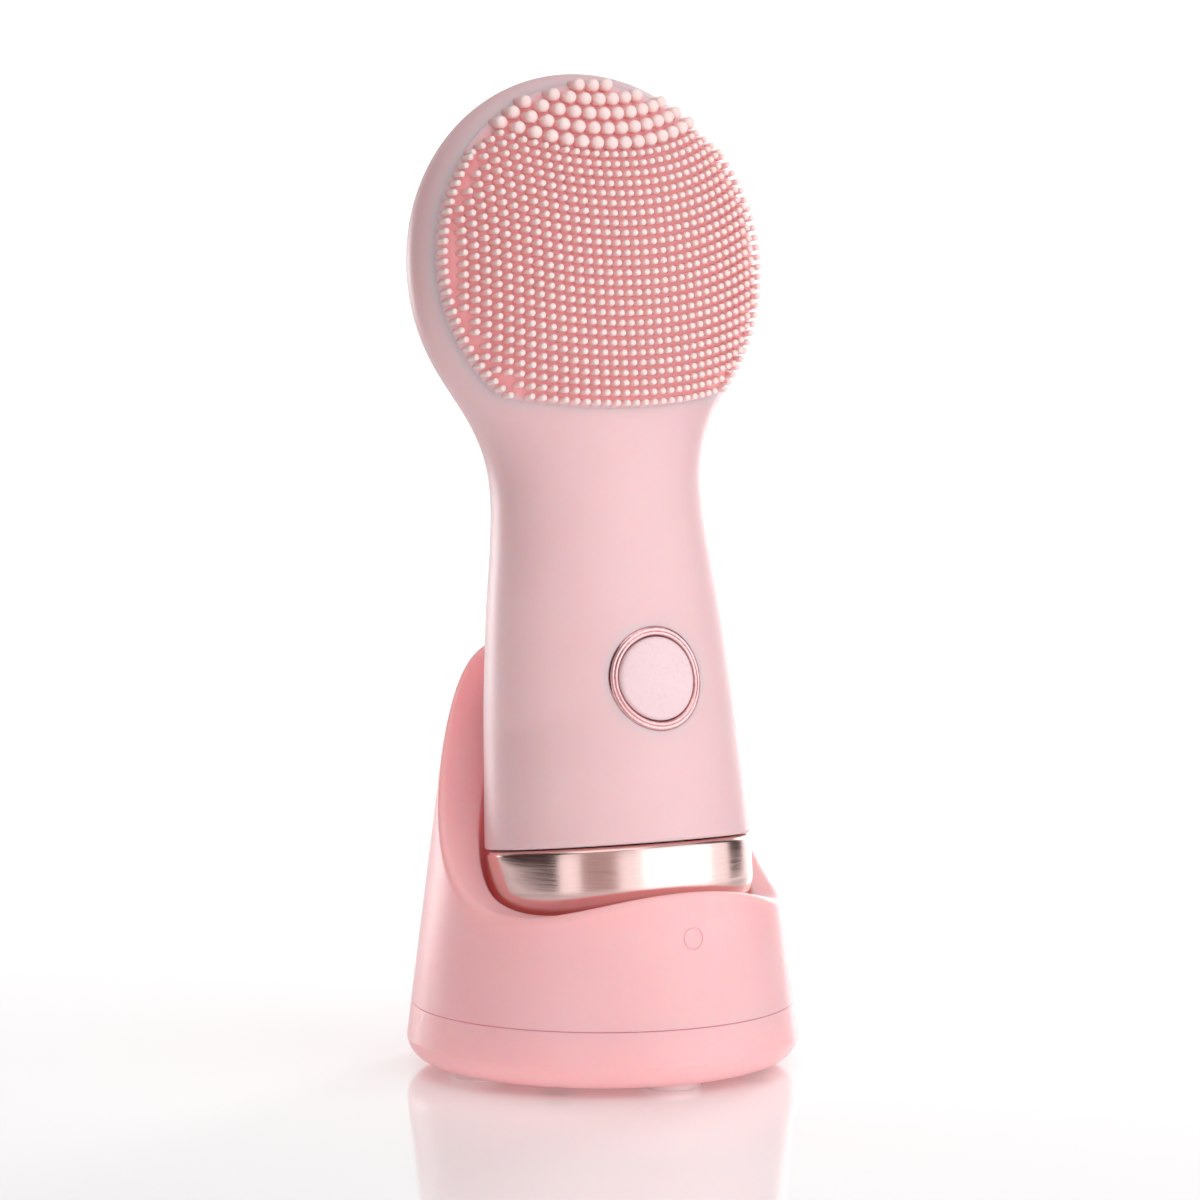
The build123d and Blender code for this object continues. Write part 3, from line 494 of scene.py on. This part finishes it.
def shell_mesh(rings):
    """The dock's shell: outside and cup closed by one pole, the hollow by another, joined at the seam."""
    points = np.concatenate(rings + [np.array([floor_mid, skin_mid])])
    faces = ring_faces(AROUND, split) + ring_faces(AROUND, len(rings) - split, split * AROUND)
    end_top, start_low, end_low = (split - 1) * AROUND, split * AROUND, (len(rings) - 1) * AROUND
    pole = len(rings) * AROUND
    joins = [(i, (i + 1) % AROUND) for i in range(AROUND)]
    faces += [(pole, end_top + i, end_top + after) for i, after in joins]
    faces += [(pole + 1, start_low + after, start_low + i) for i, after in joins]
    faces += [(end_low + i, end_low + after, after, i) for i, after in joins]
    return mesh_from("dock_skin", points, faces)


def pin_hole(x):
    """A cutter for the hole that a charging pin comes up through."""
    across, back = PIN_HOLE_R * np.cos(turn[::9]), PIN_HOLE_R * np.sin(turn[::9])
    count = len(across)
    points = np.concatenate([world(x + across, back, s) for s in (skin_low - 1, cup_low + 1)])
    ends = [tuple(range(count)), tuple(range(2 * count - 1, count - 1, -1))]
    return mesh_from("pin_hole", points, ring_faces(count, 2) + ends)


def mark_ring(z, radius, line, deep):
    """A cutter for the thin ring pressed into the dock's front."""
    across, up = cos_t[::6], sin_t[::6]
    count = len(across)
    rings = []
    for r, depth in ((radius, -2), (radius, deep), (radius - line, deep), (radius - line, -2)):
        rings.append(np.stack([r * across, depth - cone_radius(z + r * up), z + r * up], -1))
    last = 3 * count
    faces = ring_faces(count, len(rings))
    faces += [(last + i, last + (i + 1) % count, (i + 1) % count, i) for i in range(count)]
    return mesh_from("mark", np.concatenate(rings), faces)


dock = shell_mesh(shell_rings)
for x in (-PIN_X, PIN_X):
    cut(dock, pin_hole(x))
cut(dock, mark_ring(26.0, 1.9, 0.3, 0.25))


# ---------------------------------------------------------------- materials
def srgb(r, g, b):
    """A colour given as 0 to 255 display values, as the linear values that nodes take."""
    shares = np.array((r, g, b)) / 255
    linear = np.where(shares < 0.0404, shares / 12.92, ((shares + 0.055) / 1.055)**2.4)
    return (*(float(c) for c in linear), 1.0)


class Paint:
    """One procedural material: a Principled shader with its node wiring."""

    def __init__(self, name, **sockets):
        self.mat = bpy.data.materials.new(name)
        self.mat.use_nodes = True
        self.tree = self.mat.node_tree
        self.shader = self.tree.nodes["Principled BSDF"]
        for key, value in sockets.items():
            self.shader.inputs[key.replace("_", " ")].default_value = value
        self.where = self.tree.nodes.new("ShaderNodeTexCoord").outputs["Object"]

    def node(self, kind, **values):
        made = self.tree.nodes.new(kind)
        for key, value in values.items():
            if key in made.inputs:
                made.inputs[key].default_value = value
            else:
                setattr(made, key, value)
        return made

    def wire(self, a, b):
        self.tree.links.new(a, b)

    def stretched(self, x, y, z):
        scale = self.node("ShaderNodeMapping")
        scale.inputs["Scale"].default_value = (x, y, z)
        self.wire(self.where, scale.inputs["Vector"])
        return scale.outputs["Vector"]

    def noise(self, scale, detail=3.0, vector=None):
        made = self.node("ShaderNodeTexNoise", Scale=scale, Detail=detail)
        self.wire(vector or self.where, made.inputs["Vector"])
        return made.outputs["Fac"]

    def blend(self, fac, a, b):
        mix = self.tree.nodes.new("ShaderNodeMix")
        mix.data_type = "RGBA"
        for socket in mix.inputs:
            if socket.type == "RGBA" and socket.name in "AB":
                socket.default_value = a if socket.name == "A" else b
        self.wire(fac, mix.inputs["Factor"])
        return next(o for o in mix.outputs if o.type == "RGBA")

    def span(self, fac, low, high, start=0.3, end=0.7):
        ranged = self.node("ShaderNodeMapRange")
        for key, value in (("From Min", start), ("From Max", end), ("To Min", low), ("To Max", high)):
            ranged.inputs[key].default_value = value
        self.wire(fac, ranged.inputs["Value"])
        return ranged.outputs["Result"]

    def colour(self, output):
        self.wire(output, self.shader.inputs["Base Color"])

    def rough(self, output):
        self.wire(output, self.shader.inputs["Roughness"])

    def bump(self, height, strength, distance):
        made = self.node("ShaderNodeBump", Strength=strength, Distance=distance)
        self.wire(height, made.inputs["Height"])
        self.wire(made.outputs["Normal"], self.shader.inputs["Normal"])


def grained(name, light, dark, rough, grain=2200.0, bump=0.15, depth=0.00002, patch=90.0, **sockets):
    """Moulded or rubbery surface: slow colour drift, fine grain in gloss and relief."""
    paint = Paint(name, **sockets)
    paint.colour(paint.blend(paint.span(paint.noise(patch), 0, 1), dark, light))
    fine = paint.noise(grain, 2.0)
    paint.rough(paint.span(fine, rough - 0.05, rough + 0.05))
    paint.bump(fine, bump, depth)
    return paint.mat


def brushed(name, light, dark, rough, stretch):
    """Metal with fine turning or brushing lines."""
    paint = Paint(name, Metallic=1.0)
    lines = paint.noise(1.0, 4.0, paint.stretched(*stretch))
    paint.colour(paint.blend(paint.span(lines, 0, 1), dark, light))
    paint.rough(paint.span(lines, rough - 0.04, rough + 0.06))
    paint.bump(lines, 0.08, 0.00001)
    return paint.mat


def silicone(name, root, tip, rough, fade="tip"):
    """Translucent silicone whose colour runs from root to tip by a height or a margin attribute; the darker
    root colour is painted shade between the bristles.
    """
    paint = Paint(name, Subsurface_Weight=0.35, Subsurface_Scale=0.0018, IOR=1.42)
    paint.shader.inputs["Subsurface Radius"].default_value = (1.0, 0.42, 0.36)
    height = paint.node("ShaderNodeAttribute", attribute_name=fade).outputs["Fac"]
    drift = paint.node("ShaderNodeMath", operation="MULTIPLY_ADD")
    paint.wire(paint.noise(260.0), drift.inputs[0])
    drift.inputs[1].default_value = 0.12
    paint.wire(height, drift.inputs[2])
    paint.colour(paint.blend(paint.span(drift.outputs[0], 0, 1, 0.06, 0.9), root, tip))
    fine = paint.noise(3000.0, 2.0)
    paint.rough(paint.span(fine, rough - 0.05, rough + 0.06))
    paint.bump(fine, 0.1, 0.00001)
    return paint.mat


body_light, body_dark = srgb(238, 200, 203), srgb(234, 194, 198)
# painted glow: the dock's plastic emits a faint red, standing in for light passing through its translucent
# wall
dock_painted_glow = srgb(255, 124, 130)
looks = {
    "soft_touch": grained("soft_touch_satin", body_light, body_dark, 0.42, 2600, 0.12, 0.00002, 40,
                          Subsurface_Weight=0.5, Subsurface_Scale=0.004, Coat_Weight=0.05,
                          Coat_Roughness=0.35),
    # coral root colours are painted shade between the bristles; the paler bristle tip colour is painted
    # light, the pad's margin colour the body's own
    "silicone": silicone("silicone_bristle", srgb(254, 186, 186), srgb(250, 224, 221), 0.42),
    "pad": silicone("silicone_pad", srgb(254, 177, 180), srgb(236, 196, 200), 0.45, "margin"),
    "pearl_button": grained("pearl_gloss", srgb(236, 207, 211), srgb(232, 201, 206), 0.3, 1500, 0.05,
                            0.00001, 200, Coat_Weight=0.3, Coat_Roughness=0.15),
    "pink_metal": brushed("pink_metal_turned", srgb(236, 190, 192), srgb(216, 162, 164), 0.16,
                          (2500, 300, 2500)),
    "rose_gold": brushed("rose_gold_satin", srgb(236, 205, 201), srgb(228, 194, 190), 0.2,
                         (150, 150, 5000)),
    # the dock's emission is a painted glow, not a lamp
    "dock_plastic": grained("dock_satin_speckle", srgb(252, 192, 195), srgb(250, 187, 190), 0.36, 1500,
                            0.3, 0.00003, 60, Subsurface_Weight=0.7, Subsurface_Scale=0.008,
                            Emission_Color=dock_painted_glow, Emission_Strength=0.06),
    "foot_rubber": grained("foot_rubber_grey", srgb(238, 214, 216), srgb(228, 204, 206), 0.6, 1200, 0.5,
                           0.00005),
    "inner_plastic": grained("inner_plastic_white", srgb(236, 233, 230), srgb(224, 220, 217), 0.45, 1800,
                             0.2),
    "black_plastic": grained("black_plastic_matt", srgb(46, 44, 46), srgb(30, 29, 31), 0.5, 1800, 0.3),
    "black_rubber": grained("black_rubber_matt", srgb(40, 38, 39), srgb(26, 25, 26), 0.7, 1300, 0.4),
    "screw_steel": brushed("screw_steel_zinc", srgb(205, 206, 210), srgb(165, 167, 172), 0.28,
                           (1800, 1800, 1800)),
    "motor_steel": brushed("motor_steel_drawn", srgb(212, 213, 216), srgb(180, 182, 186), 0.25,
                           (60, 3000, 3000)),
    "weight_brass": brushed("weight_brass_turned", srgb(222, 190, 120), srgb(190, 155, 88), 0.3,
                            (2200, 500, 500)),
    "gold_plate": brushed("gold_plate", srgb(244, 208, 130), srgb(226, 184, 100), 0.15, (900, 900, 900)),
    "socket_steel": brushed("socket_steel_stamped", srgb(214, 214, 217), srgb(185, 186, 190), 0.22,
                            (2000, 90, 2000)),
    "ballast_steel": brushed("ballast_steel_rolled", srgb(150, 152, 156), srgb(112, 114, 118), 0.42,
                             (60, 2600, 900)),
    "battery_wrap": grained("battery_wrap_blue", srgb(70, 130, 196), srgb(56, 110, 176), 0.3, 700, 0.2,
                            Coat_Weight=0.4, Coat_Roughness=0.15),
    "lead_red": grained("lead_red_pvc", srgb(196, 40, 36), srgb(168, 28, 26), 0.4, 900, 0.2),
}


def circuit(name):
    """Green solder mask over copper tracks."""
    paint = Paint(name, Coat_Weight=0.4, Coat_Roughness=0.2)
    tracks = paint.node("ShaderNodeTexBrick", Scale=260.0)
    tracks.inputs["Mortar Size"].default_value = 0.06
    paint.wire(paint.where, tracks.inputs["Vector"])
    paint.colour(paint.blend(tracks.outputs["Fac"], srgb(28, 104, 62), srgb(58, 142, 84)))
    paint.rough(paint.span(paint.noise(1500), 0.28, 0.4))
    paint.bump(tracks.outputs["Fac"], 0.4, 0.00004)
    return paint.mat


looks["board_green"] = circuit("board_green_mask")


def finish(obj, slot, body_name, *nodes, look=None):
    obj.data.materials.clear()
    obj.data.materials.append(looks[look or slot])
    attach(obj, body_name)
    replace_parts(obj, *nodes)


finish(body, "soft_touch", "handset", "body_shell")
finish(pad, "silicone", "handset", "bristle_pad", look="pad")
finish(bristles, "silicone", "handset", "bristle_pad")
finish(cap, "pearl_button", "button", "button_cap")
finish(bezel, "pink_metal", "handset", "button_bezel")
finish(band, "rose_gold", "handset", "metal_band")
finish(dock, "dock_plastic", "dock", "dock_shell")
replaced = {n for o in bpy.data.objects for n in o.get("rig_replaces", [])}
slot_of = {part["node"]: part["material_slot"] for part in frame["record"]["subparts"]}
for n, obj in frame["nodes"].items():
    if n in replaced:
        continue
    look = looks[slot_of[n]]
    for slot in obj.material_slots:
        slot.material = look
    if not obj.material_slots:
        obj.data.materials.append(look)

# ---------------------------------------------------------------- floor, lights and camera
scene = bpy.context.scene
scene.view_settings.view_transform = "Standard"
scene.view_settings.exposure = 0.36
floor_half = 6000.0
floor_corners = [(floor_half * x, floor_half * y, 0) for x, y in ((-1, -1), (1, -1), (1, 1), (-1, 1))]
floor = mesh_from("floor", floor_corners, [(0, 1, 2, 3)])
floor_paint = Paint("floor_white", Roughness=0.09, Specular_IOR_Level=0.8)
floor_paint.colour(floor_paint.blend(floor_paint.noise(4.0), srgb(250, 249, 249), srgb(246, 245, 246)))
floor_paint.shader.inputs["Emission Color"].default_value = (1, 1, 1, 1)
floor_paint.shader.inputs["Emission Strength"].default_value = 0.08
floor.data.materials.append(floor_paint.mat)

sky = bpy.data.worlds.new("studio")
scene.world = sky
sky.use_nodes = True
sky_nodes, sky_links = sky.node_tree.nodes, sky.node_tree.links
sky_nodes["Background"].inputs["Color"].default_value = (1.0, 0.995, 0.995, 1)
direction = sky_nodes.new("ShaderNodeTexCoord")
height = sky_nodes.new("ShaderNodeSeparateXYZ")
dome = sky_nodes.new("ShaderNodeMapRange")
dome.interpolation_type = "SMOOTHSTEP"
for key, value in (("From Min", 0.08), ("From Max", 0.45), ("To Min", 1.05), ("To Max", 0.4)):
    dome.inputs[key].default_value = value
sky_links.new(direction.outputs["Generated"], height.inputs["Vector"])
sky_links.new(height.outputs["Z"], dome.inputs["Value"])
sky_links.new(dome.outputs["Result"], sky_nodes["Background"].inputs["Strength"])


def card(name, azimuth, distance, wide, low, high, tone=(62, 44, 40)):
    """A card standing beside the object, which only reflections and shade show."""
    a = math.radians(azimuth)
    middle = np.array([distance * math.sin(a), -distance * math.cos(a)])
    along = np.array([math.cos(a), math.sin(a)]) * wide / 2
    ends = [middle - along, middle + along]
    corners = [(*ends[0], low), (*ends[1], low), (*ends[1], high), (*ends[0], high)]
    obj = mesh_from(name, corners, [(0, 1, 2, 3)])
    paint = Paint(name + "_cloth", Roughness=0.9)
    paint.colour(paint.blend(paint.noise(60.0), srgb(*tone), srgb(*(0.85 * c for c in tone))))
    obj.data.materials.append(paint.mat)
    obj.visible_camera = obj.visible_shadow = False


card("card_left", -101.5, 330, 544, 12, 600, (56, 38, 34))
card("card_right", 89, 330, 130, 12, 420)
card("card_high", -128, 300, 220, 120, 420)
card("card_front", -28, 1000, 520, 0, 700, (214, 190, 186))


def softbox(name, azimuth, distance, height, size, power, aim=(0, 0, 0.09), spread=180, glossy=True):
    """A rectangular light seen from the given azimuth round the object."""
    data = bpy.data.lights.new(name, "AREA")
    data.spread = math.radians(spread)
    data.shape, data.size, data.size_y, data.energy = "RECTANGLE", size[0], size[1], power
    lamp = bpy.data.objects.new(name, data)
    a = math.radians(azimuth)
    lamp.location = (distance * math.sin(a), -distance * math.cos(a), height)
    lamp.rotation_mode = "QUATERNION"
    lamp.rotation_quaternion = (Vector(aim) - lamp.location).to_track_quat("-Z", "Y")
    lamp.visible_glossy = glossy
    bpy.context.scene.collection.objects.link(lamp)


softbox("key", 32, 0.8, 0.34, (0.9, 1.0), 1.95)
softbox("left_strip", -160, 0.55, 0.07, (0.22, 0.26), 0.055, (0, 0, 0.06), 40)
softbox("left_fill", -75, 0.5, 0.05, (0.2, 0.1), 0.007, (0, 0, 0.04), 24, False)
softbox("right_strip", 123, 0.55, 0.2, (0.12, 0.5), 0.8)
softbox("top", -20, 0.25, 0.9, (0.7, 0.7), 1.0)
softbox("low_fill", -30, 0.62, 0.03, (0.6, 0.06), 0.095, (0, 0, 0.03), 60, False)

camera_data = bpy.data.cameras.new("camera")
camera = bpy.data.objects.new("camera", camera_data)
bpy.context.scene.collection.objects.link(camera)
camera_data.sensor_width = 36
camera_data.lens = 142.5
view_angle, view_distance, view_height = math.radians(-29), 0.8, 0.1565
look_at = Vector((-0.00038, 0.00021, 0.0794))
camera.location = (view_distance * math.sin(view_angle), -view_distance * math.cos(view_angle), view_height)
camera.rotation_mode = "QUATERNION"
camera.rotation_quaternion = (look_at - camera.location).to_track_quat("-Z", "Y")
camera_data.clip_start, camera_data.clip_end = 0.01, 50
scene.camera = camera
